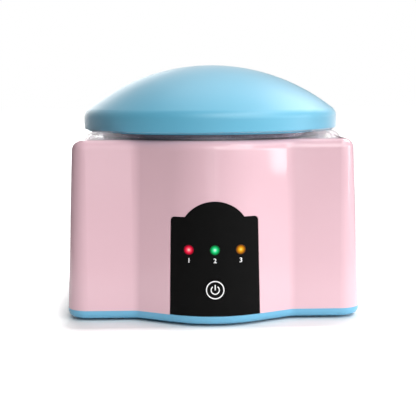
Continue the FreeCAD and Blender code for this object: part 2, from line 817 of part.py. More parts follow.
def make_lamp(name, x):
    """A clear light pipe from the LED to the face of the panel."""
    rod = pin_front(f"{name}_rod", "lamp_radius", "lamp_back", x, "lamp_height")
    return common(name, [rod, skin(f"{name}_front", "panel_sunk")])


def make_button():
    """The power key: a flush disc, a flange that stops it coming out, and a stem to the switch."""
    rod = pin_front("button_rod", "button_radius", "stop_back", "0", "button_height")
    cap = common("button_cap", [rod, skin("button_front", "-button_proud")])
    flange = rod_back("button_stop", "stop_radius", "stop_front", "stop_back", "0", "button_height")
    stem = rod_back("button_stem", "button_stem_radius", "stop_back", "switch_front", "0", "button_height")
    return fuse("power_button", [cap, flange, stem])


def rod_back(name, radius, front, back, x, z):
    """A round rod along Y between two distances from the middle plane, front one first."""
    return cylinder(name, radius, f"({front}) - ({back})", x, f"-({back})", z, FRONT)


control_panel = make_panel()
lamps = [make_lamp(name, x) for name, x in LAMPS.items()]
power_button = make_button()


# ---------------------------------------------------------------- control board
def make_board():
    blank = block("board_blank", ("-board_half", "-board_front", "board_low"),
                  ("board_half", "-board_back", "board_high"))
    holes = [rod_back(f"board_hole_{i}", "board_screw_radius + fit_gap", "lamp_back", "board_back - overrun",
                      x, z) for i, (x, z) in enumerate(board_points())]
    return cut("control_board", blank, holes)


def make_board_screw(name, x, z):
    shank = rod_back(f"{name}_shank", "board_screw_radius", "board_front + wall", "board_back", x, z)
    head = rod_back(f"{name}_head", "board_head_radius", "board_back", "board_back - board_sheet", x, z)
    return fuse(name, [shank, head])


def make_switch():
    """A tact switch on the board, bored for its plunger."""
    case = block("switch_case",
                 ("-switch_half", "button_travel - switch_front", "button_height - switch_half"),
                 ("switch_half", "-board_front", "button_height + switch_half"))
    bore = rod_back("switch_bore", "plunger_radius + plunger_gap", "switch_front",
                    "board_front + switch_floor", "0", "button_height")
    return cut("power_switch", case, [bore])


control_board = make_board()
board_screws = group("board_screws", [make_board_screw(f"board_screw_{i}", x, z)
                                      for i, (x, z) in enumerate(board_points())])
indicator_leds = group("indicator_leds", [
    rod_back(f"{name}_led", "led_radius", "lamp_back", "board_front", x, "lamp_height")
    for name, x in LAMPS.items()])
power_switch = make_switch()
switch_plunger = rod_back("switch_plunger", "plunger_radius", "switch_front",
                          "board_front + switch_floor + button_travel + plunger_gap", "0", "button_height")


# ---------------------------------------------------------------- supply board
def soldered(name, x, y, length, width, height):
    """A block on top of the supply board, centred on a place."""
    return block(name, (f"{x} - {length} / 2", f"{y} - {width} / 2", "supply_top"),
                 (f"{x} + {length} / 2", f"{y} + {width} / 2", f"supply_top + {height}"))


def make_supply():
    """A flat board with a transformer, a relay, a capacitor and two terminal blocks soldered on."""
    blank = block("supply_blank", ("-supply_half_x", "supply_low_y", "supply_height"),
                  ("supply_half_x", "supply_high_y", "supply_top"))
    holes = [cylinder(f"supply_hole_{i}", "board_screw_radius + fit_gap", "supply_sheet + 2 * overrun", x, y,
                      "supply_height - overrun") for i, (x, y) in enumerate(supply_points())]
    terminal = ("terminal_length", "terminal_width", "terminal_height")
    return fuse("supply_board", [
        cut("supply_plate", blank, holes),
        soldered("transformer", "transformer_x", "transformer_y", "transformer_side", "transformer_side",
                 "transformer_height"),
        soldered("relay", "relay_x", "relay_y", "relay_length", "relay_width", "relay_height"),
        cylinder("capacitor", "capacitor_radius", "capacitor_height", "relay_x", "capacitor_y", "supply_top"),
        soldered("mains_terminal", "0", "mains_terminal_y", *terminal),
        soldered("heater_terminal", "heater_terminal_x", "heater_terminal_y", *terminal),
    ])


def make_supply_screw(name, x, y):
    shank = cylinder(f"{name}_shank", "board_screw_radius", "supply_sheet + supply_bite", x, y,
                     "supply_height - supply_bite")
    head = cylinder(f"{name}_head", "board_head_radius", "board_sheet", x, y, "supply_top")
    return fuse(name, [shank, head])


supply_board = make_supply()
supply_screws = group("supply_screws", [make_supply_screw(f"supply_screw_{i}", x, y)
                                        for i, (x, y) in enumerate(supply_points())])


# ---------------------------------------------------------------- mains inlet
def make_inlet():
    """A snap-in two-pin inlet: a flange, a body and a figure-of-eight socket with two pins."""
    flange = block("inlet_plate",
                   ("-inlet_flange_x", "inlet_face - inlet_flange", "inlet_height - inlet_flange_z"),
                   ("inlet_flange_x", "inlet_face", "inlet_height + inlet_flange_z"))
    case = block("inlet_case", ("-inlet_half_x", "inlet_back", "inlet_height - inlet_half_z"),
                 ("inlet_half_x", "inlet_face", "inlet_height + inlet_half_z"))
    sides = ("(pin_pitch / 2)", "-(pin_pitch / 2)")
    wells = [cylinder(f"socket_well_{i}", "socket_radius", "socket_depth + overrun", x,
                      "inlet_face + overrun", "inlet_height", FRONT) for i, x in enumerate(sides)]
    waist = block("socket_waist",
                  ("-pin_pitch / 2", "inlet_face - socket_depth",
                   "inlet_height - socket_radius + waist_step"),
                  ("pin_pitch / 2", "inlet_face + overrun", "inlet_height + socket_radius - waist_step"))
    shell = cut("inlet_shell", fuse("inlet_solid", [flange, case]), wells + [waist])
    pins = [cylinder(f"inlet_pin_{i}", "pin_radius", "pin_length + pin_tail", x,
                     "inlet_face - socket_depth + pin_length", "inlet_height", FRONT)
            for i, x in enumerate(sides)]
    return cut("power_inlet", shell, [fuse("pin_tools", pins, False)]), group("inlet_pins", pins)


power_inlet, inlet_pins = make_inlet()


# ---------------------------------------------------------------- wiring
def route(points):
    """A path of straight runs joined by tangent arcs, each arc as large as its two runs leave room for."""
    places = [Vector(*[number(text) for text in point]) for point in points]
    edges = []
    here = places[0]
    for before, corner, after in zip(places, places[1:], places[2:]):
        back = (before - corner).normalize()
        onward = (after - corner).normalize()
        reach = number("bend_share") * min(corner.distanceToPoint(before), corner.distanceToPoint(after))
        half = back.getAngle(onward) / 2
        inside = (back + onward).normalize() * (reach / math.cos(half) - reach * math.tan(half))
        start = corner + back * reach
        end = corner + onward * reach
        edges += [Part.makeLine(here, start), Part.Arc(start, corner + inside, end).toShape()]
        here = end
    edges.append(Part.makeLine(here, places[-1]))
    return Part.Wire(edges)


def swept(name, path, section):
    item = doc.addObject("Part::Feature", name)
    item.Shape = path.makePipeShell([section], True, False)
    return item


def lead(name, *points):
    """A round insulated wire through points, each given as three expressions."""
    path = route(points)
    first = path.OrderedEdges[0]
    ring = Part.makeCircle(number("lead_radius"), first.valueAt(first.FirstParameter),
                           first.tangentAt(first.FirstParameter))
    return swept(name, path, Part.Wire(ring))


def make_inlet_leads():
    """Two short wires from the inlet's pins down to the mains terminal block."""
    wires = []
    for i, x in enumerate(("(pin_pitch / 2)", "-(pin_pitch / 2)")):
        wires.append(lead(f"inlet_lead_{i}",
                          (x, "tail_end", "inlet_height"),
                          (x, "0.7 * tail_end + 0.3 * mains_side", "inlet_height"),
                          (x, "0.3 * tail_end + 0.7 * mains_side", "terminal_mid"),
                          (x, "mains_side", "terminal_mid")))
    return group("inlet_leads", wires)


def make_heater_leads():
    """The heater's loop: terminal to thermostat, thermostat to heater, and thermal fuse to terminal."""
    live = "(heater_terminal_x + lead_apart / 2)"
    neutral = "(heater_terminal_x - lead_apart / 2)"
    to_thermostat = lead("thermostat_lead",
                         (live, "heater_side", "terminal_mid"),
                         (live, "heater_side - lead_out", "terminal_mid"),
                         ("thermostat_x", "heater_side - lead_out", "terminal_mid"),
                         ("thermostat_x", "heater_side - lead_out", "thermostat_under"))
    half_can = "(floor_under - thermostat_height / 2)"
    to_heater = lead("heater_lead",
                     ("thermostat_side", "0", half_can),
                     ("0.7 * thermostat_side + 0.3 * well_side", "0", half_can),
                     ("well_side + 2 * lead_radius", "0", "heater_mid"),
                     ("heater_radius", "0", "heater_mid"))
    from_fuse = lead("fuse_lead",
                     ("0", "-(fuse_length / 2)", "fuse_middle"),
                     ("0", "-clamp_radius", "fuse_middle"),
                     ("0", "-shield_radius", "rim_over + lead_radius"),
                     ("0", "-drop_y", "rim_over"),
                     (neutral, "-drop_y", "terminal_mid"),
                     (neutral, "heater_side", "terminal_mid"))
    return group("heater_leads", [to_thermostat, to_heater, from_fuse])


def make_ribbon():
    """A flat cable soldered on the supply board and on the back of the control board."""
    path = route([
        ("ribbon_x", "supply_low_y + ribbon_land", "ribbon_top"),
        ("ribbon_x", "supply_low_y - lead_out / 2", "ribbon_top"),
        ("ribbon_x", "supply_low_y - 1.5 * lead_out", "ribbon_sag"),
        ("ribbon_x", "2 * lead_out - board_back", "ribbon_sag"),
        ("ribbon_x", "lead_out - board_back", "ribbon_up"),
        ("ribbon_x", "-board_back", "ribbon_up"),
    ])
    start = path.OrderedVertexes[0].Point
    across = Vector(number("ribbon_width / 2"), 0, 0)
    up = Vector(0, 0, number("ribbon_sheet / 2"))
    section = Part.makePolygon([start - across - up, start + across - up, start + across + up,
                                start - across + up, start - across - up])
    return swept("panel_ribbon", path, section)


inlet_leads = make_inlet_leads()
heater_leads = make_heater_leads()
panel_ribbon = make_ribbon()

# ---------------------------------------------------------------- clear finger cover
def shoulder(name, inside):
    """The cover's outer or inner form: the outline leaning in as it rises to its flat top."""
    levels = []
    for height, step in (("body_top", "0"), (f"cover_top - {inside}", "cover_slope")):
        inset = f"draft_inset + cover_inset + {inside} + {step}"
        levels.append((height, inset, f"cover_corner - {inside} - {step}"))
    return lobed(name, levels)


def ports(name, grow, low, high):
    """Five oval prisms round the cover, one for each finger."""
    radius = f"port_radius + {grow}"
    body = padded(name, [
        (f"port_circle + {radius}", "-port_spread / 2"),
        (f"port_circle + {radius}", "port_spread / 2", None, 1),
        (f"port_circle - ({radius})", "port_spread / 2"),
        (f"port_circle - ({radius})", "-port_spread / 2", None, 1),
    ], "XY_Plane", low, f"({high}) - ({low})")
    ring = body.newObject("PartDesign::PolarPattern", f"{name}_ring")
    ring.Originals = [doc.getObject(f"{name}_pad")]
    ring.Axis = (next(item for item in body.Origin.OriginFeatures if item.Role == "Z_Axis"), [""])
    ring.Angle = 360
    tie(ring, Occurrences="port_count")
    body.Tip = ring
    body.Placement = Placement(Vector(), Rotation(Z_AXIS, 90))
    return body


def ring(name, inner, outer, low, high):
    return turned(name, [(inner, low), (outer, low), (outer, high), (inner, high)])


def make_cover():
    """A clear moulded cover with a finger port for each finger and a groove for the lid's lip."""
    outer = rounded("cover_outer", shoulder("cover_form", "0"), "cover_top", "cover_rounding")
    channel = ring("cover_channel", "lip_inner - lip_gap - cover_wall", "lip_outer + lip_gap + cover_wall",
                   "groove_floor - cover_wall", "cover_top")
    groove = turned("cover_groove", [
        ("lip_inner - lip_gap", "groove_floor"),
        ("lip_outer + lip_gap", "groove_floor"),
        ("lip_outer + lip_gap", "rim_bottom - lip_gap"),
        ("rim_radius + lip_gap", "rim_bottom - lip_gap"),
        ("rim_radius + lip_gap", "cover_top + overrun"),
        ("lip_inner - lip_gap", "cover_top + overrun"),
    ])
    shell = cut("cover_shell", outer, [shoulder("cover_hollow", "cover_wall")])
    bed = common("cover_bed", [outer, channel])
    low = "cover_top - collar_drop"
    high = "cover_top + collar_rise"
    collars = ports("port_collars", "collar_wall", low, high)
    holes = ports("port_holes", "0", f"{low} - overrun", f"{high} + overrun")
    return cut("finger_cover", fuse("cover_solid", [shell, bed, collars]), [groove, holes])


finger_cover = make_cover()

# ---------------------------------------------------------------- dome lid
def make_lid():
    """A domed lid: a spherical crown on an upright rim, with a lip inside that seats in the cover."""
    reach = "crown_radius / (crown_radius - crease_rounding)"
    return turned("dome_lid", [
        ("rim_radius", "rim_bottom + rim_height", "crease_rounding", 1),
        (f"(rim_radius - crease_rounding) * {reach}", f"crown_centre + bend_height * {reach}",
         "crown_radius", 1),
        ("0", "crown_top"),
        ("0", "crown_top - lid_wall", "inner_crown", -1),
        ("lip_outer", "crown_centre + sqrt(inner_crown^2 - lip_outer^2)"),
        ("lip_outer", "rim_bottom + lip_rise"),
        ("lip_inner", "rim_bottom + lip_rise"),
        ("lip_inner", "groove_floor"),
        ("lip_outer", "groove_floor"),
        ("lip_outer", "rim_bottom"),
        ("rim_radius - rim_edge", "rim_bottom", "rim_edge", 1),
        ("rim_radius", "rim_bottom + rim_edge"),
    ])


dome_lid = make_lid()

# ---------------------------------------------------------------- export
SUBPARTS = [
    housing, base_cover, rubber_feet, base_screws,
    steam_pot, pot_seal, heater_plate, heater_clamp, heat_shield, pot_nuts, thermostat, thermal_fuse,
    control_panel, *lamps, power_button, control_board, board_screws, indicator_leds, power_switch,
    switch_plunger, supply_board, supply_screws, power_inlet, inlet_pins, inlet_leads, heater_leads,
    panel_ribbon, finger_cover, dome_lid,
]

doc.recompute()
for item in doc.Objects:
    if "Invalid" in item.State or "Error" in item.State:
        raise RuntimeError(f"{item.Name} failed: {item.State}")
os.makedirs("parts", exist_ok=True)
for item in SUBPARTS:
    shape = item.Shape
    if shape.isNull() or not shape.isValid():
        raise RuntimeError(f"{item.Label} has no valid shape")
    shape.exportStep(f"parts/{item.Label}.step")
    print(item.Label, len(shape.Solids), round(shape.Volume, 1))
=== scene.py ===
import math

import bmesh
import bpy
from mathutils import Euler, Matrix, Vector
from mathutils.bvhtree import BVHTree


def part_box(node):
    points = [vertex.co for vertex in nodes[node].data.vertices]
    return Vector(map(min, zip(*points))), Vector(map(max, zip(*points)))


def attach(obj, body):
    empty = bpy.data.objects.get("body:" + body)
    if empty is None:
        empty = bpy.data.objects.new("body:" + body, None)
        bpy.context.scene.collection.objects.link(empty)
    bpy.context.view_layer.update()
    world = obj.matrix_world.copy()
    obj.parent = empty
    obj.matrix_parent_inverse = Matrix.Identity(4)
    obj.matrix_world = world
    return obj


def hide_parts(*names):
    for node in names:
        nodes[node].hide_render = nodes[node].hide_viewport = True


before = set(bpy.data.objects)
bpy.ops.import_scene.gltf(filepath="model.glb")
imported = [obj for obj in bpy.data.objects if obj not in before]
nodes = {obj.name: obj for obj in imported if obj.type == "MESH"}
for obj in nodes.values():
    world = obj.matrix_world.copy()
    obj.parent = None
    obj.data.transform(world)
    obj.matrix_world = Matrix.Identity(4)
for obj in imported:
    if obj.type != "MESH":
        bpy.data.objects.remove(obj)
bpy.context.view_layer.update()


# ---------------------------------------------------------------- base cover
# The shallow tray that closes the machine from below, with air slots, foot seats and screw wells.
# Injection-moulded ABS in light blue, with a satin shine from a tool that was polished but not lapped.
MM = 0.001
MIX_FROM, MIX_TO, MIX_RESULT = 6, 7, 2  # the places of a Mix node's colour sockets


def linear(hex_colour):
    """An sRGB hex colour as the linear colour that shaders take."""
    parts = [int(hex_colour[i:i + 2], 16) / 255 for i in (1, 3, 5)]
    return (*(c / 12.92 if c <= 0.04045 else ((c + 0.055) / 1.055) ** 2.4 for c in parts), 1.0)


def add(tree, kind, settings=None, links=None):
    """A node with its settings, which are properties or socket values, and the sockets that feed it.

    A socket goes by its name, or by its place in the node's list where others share the name.
    """
    made = tree.nodes.new(kind)
    for name, value in (settings or {}).items():
        if isinstance(name, str) and hasattr(made, name):
            setattr(made, name, value)
        else:
            made.inputs[name].default_value = value
    for name, source in (links or {}).items():
        tree.links.new(source, made.inputs[name])
    return made


def finish(name, colour, settings):
    """A material with one Principled shader. Returns it, its tree, the shader and the place on the piece."""
    made = bpy.data.materials.new(name)
    made.use_nodes = True
    tree = made.node_tree
    shader = tree.nodes["Principled BSDF"]
    shader.inputs["Base Color"].default_value = linear(colour)
    for socket, value in settings.items():
        shader.inputs[socket].default_value = value
    return made, tree, shader, add(tree, "ShaderNodeTexCoord").outputs["Object"]


def vary_colour(tree, shader, colours, share):
    """Let the base colour go from one hex colour to another as a pattern's share goes from 0 to 1."""
    blend = add(tree, "ShaderNodeMix",
                {"data_type": "RGBA", MIX_FROM: linear(colours[0]), MIX_TO: linear(colours[1])}, {0: share})
    tree.links.new(blend.outputs[MIX_RESULT], shader.inputs["Base Color"])


def mottle(tree, shader, place, colours, patch_mm):
    """Slow, faint variation between two colours, over patches of a real size."""
    cloud = add(tree, "ShaderNodeTexNoise", {"Scale": 1 / (patch_mm * MM), "Detail": 3.0}, {"Vector": place})
    vary_colour(tree, shader, colours, cloud.outputs["Fac"])


def grain(tree, shader, place, grain_mm, depth_mm, strength):
    """A fine, even surface texture, as bump."""
    noise = add(tree, "ShaderNodeTexNoise", {"Scale": 1 / (grain_mm * MM), "Detail": 2.0}, {"Vector": place})
    bump = add(tree, "ShaderNodeBump", {"Strength": strength, "Distance": depth_mm * MM},
               {"Height": noise.outputs["Fac"]})
    tree.links.new(bump.outputs["Normal"], shader.inputs["Normal"])


def satin_blue_abs():
    """Satin ABS: a soft, broad shine over a faint spark-eroded grain, drawn at 0.5 mm to show."""
    made, tree, shader, place = finish("satin_blue_abs", "#6CB5D7", {"Roughness": 0.32, "IOR": 1.54})
    mottle(tree, shader, place, ("#69B3D5", "#70B8DA"), patch_mm=30)
    grain(tree, shader, place, grain_mm=0.5, depth_mm=0.02, strength=0.15)
    return made


def dress(node, material):
    """Give a carried-over part its finish."""
    for place in nodes[node].material_slots:
        place.material = material


dress("base_cover", satin_blue_abs())


# ---------------------------------------------------------------- rubber feet
# Four moulded rubber discs pressed into seats under the base, with grip rings on the face that
# meets the table. Matt black nitrile rubber, slightly dusty.
def put_in_scene(name, data):
    """An object with this data, at the origin."""
    made = bpy.data.objects.new(name, data)
    bpy.context.scene.collection.objects.link(made)
    return made


def settled_mesh(piece):
    """A piece's shape as its modifiers or its lettering leave it, as a plain mesh."""
    return bpy.data.meshes.new_from_object(piece.evaluated_get(bpy.context.evaluated_depsgraph_get()))


def revolve(name, outline, steps):
    """A closed mesh turned about +Z from (radius, height) points in mm, which start and end on the axis."""
    mesh = bmesh.new()
    line = [mesh.verts.new((radius * MM, 0, height * MM)) for radius, height in outline]
    edges = [mesh.edges.new(pair) for pair in zip(line, line[1:])]
    bmesh.ops.spin(mesh, geom=line + edges, cent=(0, 0, 0), axis=(0, 0, 1), angle=math.tau, steps=steps)
    bmesh.ops.remove_doubles(mesh, verts=mesh.verts, dist=0.001 * MM)
    bmesh.ops.recalc_face_normals(mesh, faces=mesh.faces)
    data = bpy.data.meshes.new(name)
    mesh.to_mesh(data)
    mesh.free()
    return put_in_scene(name, data)


def copier():
    """Geometry nodes that set a turned copy of a piece on each point of a mesh, in one finish."""
    tree = bpy.data.node_groups.new("set_on_points", "GeometryNodeTree")
    socket = {}
    for name, kind in (("Points", "Geometry"), ("Piece", "Object"), ("Tilt", "Vector"), ("Step", "Float"),
                       ("Finish", "Material")):
        made = tree.interface.new_socket(name, in_out="INPUT", socket_type=f"NodeSocket{kind}")
        socket[name] = made.identifier
    tree.interface.new_socket("Geometry", in_out="OUTPUT", socket_type="NodeSocketGeometry")
    given = add(tree, "NodeGroupInput").outputs
    source = add(tree, "GeometryNodeObjectInfo", {}, {"Object": given["Piece"]})
    count = add(tree, "GeometryNodeInputIndex")
    spin = add(tree, "ShaderNodeMath", {"operation": "MULTIPLY"}, {0: count.outputs[0], 1: given["Step"]})
    about = add(tree, "ShaderNodeCombineXYZ", {}, {"Z": spin.outputs[0]})
    spun = add(tree, "FunctionNodeEulerToRotation", {}, {0: about.outputs[0]})
    tilted = add(tree, "FunctionNodeEulerToRotation", {}, {0: given["Tilt"]})
    both = add(tree, "FunctionNodeRotateRotation", {"rotation_space": "LOCAL"},
               {0: tilted.outputs[0], 1: spun.outputs[0]})
    placed = add(tree, "GeometryNodeInstanceOnPoints", {},
                 {"Points": given["Points"], "Instance": source.outputs["Geometry"],
                  "Rotation": both.outputs[0]})
    real = add(tree, "GeometryNodeRealizeInstances", {}, {0: placed.outputs[0]})
    painted = add(tree, "GeometryNodeSetMaterial", {},
                  {"Geometry": real.outputs[0], "Material": given["Finish"]})
    add(tree, "NodeGroupOutput", {}, {0: painted.outputs[0]})
    return tree, socket


COPIER, SOCKET = copier()


def smooth(data, crisp_from):
    """Smooth shading, with edges sharper than an angle in degrees kept crisp."""
    for face in data.polygons:
        face.use_smooth = True
    data.set_sharp_from_angle(angle=math.radians(crisp_from))


def stand_in(node, piece, points, material, body, tilt=(0, 0, 0), step=0.0):
    """Copies of a piece at each point, as one mesh that takes the place of a node.

    Each copy is tilted, and turned about its own axis by one step more than the last.
    """
    data = bpy.data.meshes.new(node)
    data.from_pydata(points, [], [])
    holder = put_in_scene(f"{node}_set", data)
    modifier = holder.modifiers.new("copies", "NODES")
    modifier.node_group = COPIER
    for label, value in (("Piece", piece), ("Tilt", tilt), ("Step", step), ("Finish", material)):
        modifier[SOCKET[label]] = value
    holder.update_tag()
    result = settled_mesh(holder)
    holder.modifiers.remove(modifier)
    holder.data = result
    smooth(result, crisp_from=35)
    bpy.data.objects.remove(piece)
    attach(holder, body)
    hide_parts(node)


def corners(node, margin, height):
    """The four places of a node's like pieces, a margin inside its box, at one height."""
    low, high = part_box(node)
    return [(x, y, height) for y in (low.y + margin, high.y - margin)
            for x in (low.x + margin, high.x - margin)]


def nitrile_rubber():
    """Black rubber: dull, with dust in its fine grain."""
    made, tree, shader, place = finish("nitrile_rubber", "#1B1B1C", {"Roughness": 0.75, "IOR": 1.52})
    mottle(tree, shader, place, ("#161617", "#242425"), patch_mm=3)
    grain(tree, shader, place, grain_mm=0.3, depth_mm=0.03, strength=0.4)
    return made


def make_feet():
    """The four feet: discs with three round grooves in the face and a rounded edge, in millimetres."""
    radius, grooves, half_groove, depth = 7, (2, 3.8, 5.6), 0.3, 0.35
    edge = 0.5
    edge_middle = 0.3 * edge  # how far in the round edge is at its middle
    low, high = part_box("rubber_feet")
    thick = (high.z - low.z) / MM
    outline = [(0, 0)]
    for ring in grooves:
        outline += [(ring - half_groove, 0), (ring - half_groove / 2, depth),
                    (ring + half_groove / 2, depth), (ring + half_groove, 0)]
    outline += [(radius - edge, 0), (radius - edge_middle, edge_middle), (radius, edge),
                (radius, thick), (0, thick)]
    stand_in("rubber_feet", revolve("foot", outline, steps=40), corners("rubber_feet", radius * MM, 0),
             nitrile_rubber(), "machine")


make_feet()


# ---------------------------------------------------------------- base screws
# Four self-tapping pan-head screws with a cross recess, driven up through the base into the
# housing's posts. Zinc-plated steel, bright with a faint blue passivation.
def zinc_plate():
    """Bright zinc on steel: a metallic shine broken by a crystalline, slightly cloudy plating."""
    made, tree, shader, place = finish("zinc_plate", "#B9BCC2", {"Metallic": 1.0, "Roughness": 0.34})
    mottle(tree, shader, place, ("#AEB3BC", "#C4C5C8"), patch_mm=2)
    grain(tree, shader, place, grain_mm=0.2, depth_mm=0.01, strength=0.2)
    return made


def cut_recess(piece, head_radius, head):
    """Cut a cross for the driver in a screw's head: two crossed blades, sunk half-way down it."""
    arm, blade, depth = 0.62 * head_radius * MM, 0.13 * head_radius * MM, 0.55 * head * MM
    mesh = bmesh.new()
    for x, y in ((arm, blade), (blade, arm)):
        block = Matrix.Translation((0, 0, -head * MM)) @ Matrix.Diagonal((x, y, depth, 1))
        bmesh.ops.create_cube(mesh, size=2, matrix=block)
    cutter = bpy.data.meshes.new(f"{piece.name}_driver")
    mesh.to_mesh(cutter)
    mesh.free()
    driver = put_in_scene(cutter.name, cutter)
    recess = piece.modifiers.new("recess", "BOOLEAN")
    recess.object = driver
    recess.solver = "EXACT"
    recess.use_self = True
    piece.data = settled_mesh(piece)
    piece.modifiers.clear()
    bpy.data.objects.remove(driver)


PAN_HEAD = ((0, 1), (0.55, 0.97), (0.83, 0.75), (1, 0.35), (1, 0))  # shares of a head's radius and height


def screw(name, head_radius, head, radius, length, pitch):
    """A pan-head screw along +Z with its seat at the origin, in millimetres."""
    root, tip = 0.8 * radius, 0.25 * radius
    point = 3 * pitch
    outline = [(out * head_radius, -up * head) for out, up in PAN_HEAD] + [(root, 0)]
    for i in range(1, int((length - point) / pitch) + 1):
        outline += [(radius, i * pitch), (root, (i + 0.5) * pitch)]
    outline += [(tip, length), (0, length)]
    piece = revolve(name, outline, steps=28)
    cut_recess(piece, head_radius, head)
    return piece


def drive_base_screws():
    """The four screws, heads down, with each cross turned a little from the last."""
    head_radius, head = 2.9, 1.8
    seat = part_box("base_screws")[0].z + head * MM
    piece = screw("base_screw", head_radius, head, radius=1.25, length=12.2, pitch=1.0)
    places = corners("base_screws", head_radius * MM, seat)
    stand_in("base_screws", piece, places, ZINC, "machine", step=0.7)


ZINC = zinc_plate()
drive_base_screws()


# ---------------------------------------------------------------- supply board and its screws
# The mains board on four bosses of the base, with its transformer, relay, capacitor and terminal
# blocks. Glass-epoxy laminate under green solder mask, and black moulded parts.
def copper_tracks(tree, place):
    """Two close greens with paler bands where a track lies under the lacquer, on a 5.08 mm grid."""
    tracks = add(tree, "ShaderNodeTexBrick",
                 {"Scale": 1 / (5.08 * MM), "Color1": linear("#0F4A2B"), "Color2": linear("#13532F"),
                  "Mortar": linear("#2C7A47"), "Mortar Size": 0.05}, {"Vector": place})
    return tracks.outputs["Color"]


def populated_board():
    """The green laminate, and above it the dark mouldings that are soldered on."""
    made, tree, shader, place = finish("populated_board", "#0F4A2B", {"Roughness": 0.35, "IOR": 1.55})
    board_top = 12.7 * MM
    height = add(tree, "ShaderNodeSeparateXYZ", {}, {0: place})
    above = add(tree, "ShaderNodeMath", {"operation": "GREATER_THAN", 1: board_top}, {0: height.outputs["Z"]})
    blend = add(tree, "ShaderNodeMix", {"data_type": "RGBA", MIX_TO: linear("#26262A")},
                {0: above.outputs[0], MIX_FROM: copper_tracks(tree, place)})
    tree.links.new(blend.outputs[MIX_RESULT], shader.inputs["Base Color"])
    return made


SMALL_HEAD_RADIUS, SMALL_HEAD, SMALL_SHANK, SMALL_PITCH = 2.2, 1.6, 1.0, 0.8


def drive_supply_screws():
    """The board's four screws, driven down into the bosses."""
    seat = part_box("supply_screws")[1].z - SMALL_HEAD * MM
    piece = screw("supply_screw", SMALL_HEAD_RADIUS, SMALL_HEAD, SMALL_SHANK, length=5.6, pitch=SMALL_PITCH)
    places = corners("supply_screws", SMALL_HEAD_RADIUS * MM, seat)
    stand_in("supply_screws", piece, places, ZINC, "machine", tilt=(math.pi, 0, 0), step=0.9)


dress("supply_board", populated_board())
drive_supply_screws()


# ---------------------------------------------------------------- mains inlet and its pins
# A snap-in two-pin inlet in the back of the housing: black nylon with a figure-of-eight socket,
# and two nickel-plated brass pins moulded into it.
def black_nylon():
    """Moulded nylon: dark, even and slightly waxy."""
    made, tree, shader, place = finish("black_nylon", "#1D1D1F", {"Roughness": 0.45, "IOR": 1.53})
    mottle(tree, shader, place, ("#19191B", "#222224"), patch_mm=4)
    grain(tree, shader, place, grain_mm=0.3, depth_mm=0.02, strength=0.25)
    return made


def nickel_brass():
    """Nickel over brass: a warm, bright and slightly cloudy metal."""
    made, tree, shader, place = finish("nickel_brass", "#CFC6AE", {"Metallic": 1.0, "Roughness": 0.22})
    mottle(tree, shader, place, ("#C6BB9E", "#D6CFBB"), patch_mm=1.5)
    return made


NYLON = black_nylon()
dress("power_inlet", NYLON)
dress("inlet_pins", nickel_brass())


# ---------------------------------------------------------------- steam pot and its seal
# A drawn aluminium pan with a shallow well for the remover, hung by its flange in the housing's
# roof on a silicone ring. Its smoky metallic coat is sprayed on and baked, with mica flakes.
def mica_coat():
    """Baked metallic coat: smoky plum, satin, with scattered paler flakes drawn 0.5 mm across to show."""
    plain, flaked = "#A598AA", "#C9BFCE"
    cell_mm, cells_without = 0.9, 0.86
    flake_edge, flake_full = 0.30, 0.22  # in cells, from a flake's middle
    made, tree, shader, place = finish("mica_coat", plain, {"Metallic": 1.0, "Roughness": 0.32})
    cells = add(tree, "ShaderNodeTexVoronoi", {"Scale": 1 / (cell_mm * MM)}, {"Vector": place})
    flake = add(tree, "ShaderNodeMapRange", {"From Min": flake_edge, "From Max": flake_full},
                {"Value": cells.outputs["Distance"]})
    rare = add(tree, "ShaderNodeSeparateColor", {}, {0: cells.outputs["Color"]})
    chosen = add(tree, "ShaderNodeMath", {"operation": "GREATER_THAN", 1: cells_without},
                 {0: rare.outputs[0]})
    shown = add(tree, "ShaderNodeMath", {"operation": "MULTIPLY"},
                {0: flake.outputs[0], 1: chosen.outputs[0]})
    vary_colour(tree, shader, (plain, flaked), shown.outputs[0])
    grain(tree, shader, place, grain_mm=0.25, depth_mm=0.02, strength=0.3)
    return made


def silicone():
    """Black silicone: dull and smooth."""
    made, tree, shader, place = finish("silicone", "#1A181A", {"Roughness": 0.6, "IOR": 1.41})
    mottle(tree, shader, place, ("#161416", "#201E20"), patch_mm=5)
    return made


dress("steam_pot", mica_coat())
dress("pot_seal", silicone())


# ---------------------------------------------------------------- heater stack
# What hangs on the pot's three studs: the cast heater plate, a pressed clamp disc with a thermal
# fuse under it, a tray that shields the boards, and the nuts. A thermostat sits beside the well.
def cast_aluminium():
    """Cast aluminium: pale, with the dull, pebbled skin of a sand-blasted die."""
    made, tree, shader, place = finish("cast_aluminium", "#B4B5B8", {"Metallic": 1.0, "Roughness": 0.5})
    mottle(tree, shader, place, ("#A9AAAE", "#BEBFC1"), patch_mm=4)
    grain(tree, shader, place, grain_mm=0.8, depth_mm=0.08, strength=0.4)
    return made


def rolled_steel():
    """Plated sheet steel: streaked along the rolling direction, with streaks drawn 0.5 mm wide to show."""
    made, tree, shader, place = finish("rolled_steel", "#A3A5A9", {"Metallic": 1.0, "Roughness": 0.36})
    streak_length, streak_width = 10, 0.5
    along = add(tree, "ShaderNodeMapping", {"Scale": (streak_width / streak_length, 1, 1)},
                {"Vector": place})
    streaks = add(tree, "ShaderNodeTexNoise", {"Scale": 1 / (streak_width * MM), "Detail": 2.0},
                  {"Vector": along.outputs[0]})
    rough = add(tree, "ShaderNodeMapRange", {"To Min": 0.28, "To Max": 0.46},
                {"Value": streaks.outputs["Fac"]})
    tree.links.new(rough.outputs[0], shader.inputs["Roughness"])
    return made


STEEL = rolled_steel()
dress("heater_plate", cast_aluminium())
dress("heater_clamp", STEEL)
dress("heat_shield", STEEL)
dress("thermal_fuse", STEEL)
dress("pot_nuts", ZINC)
dress("thermostat", NYLON)


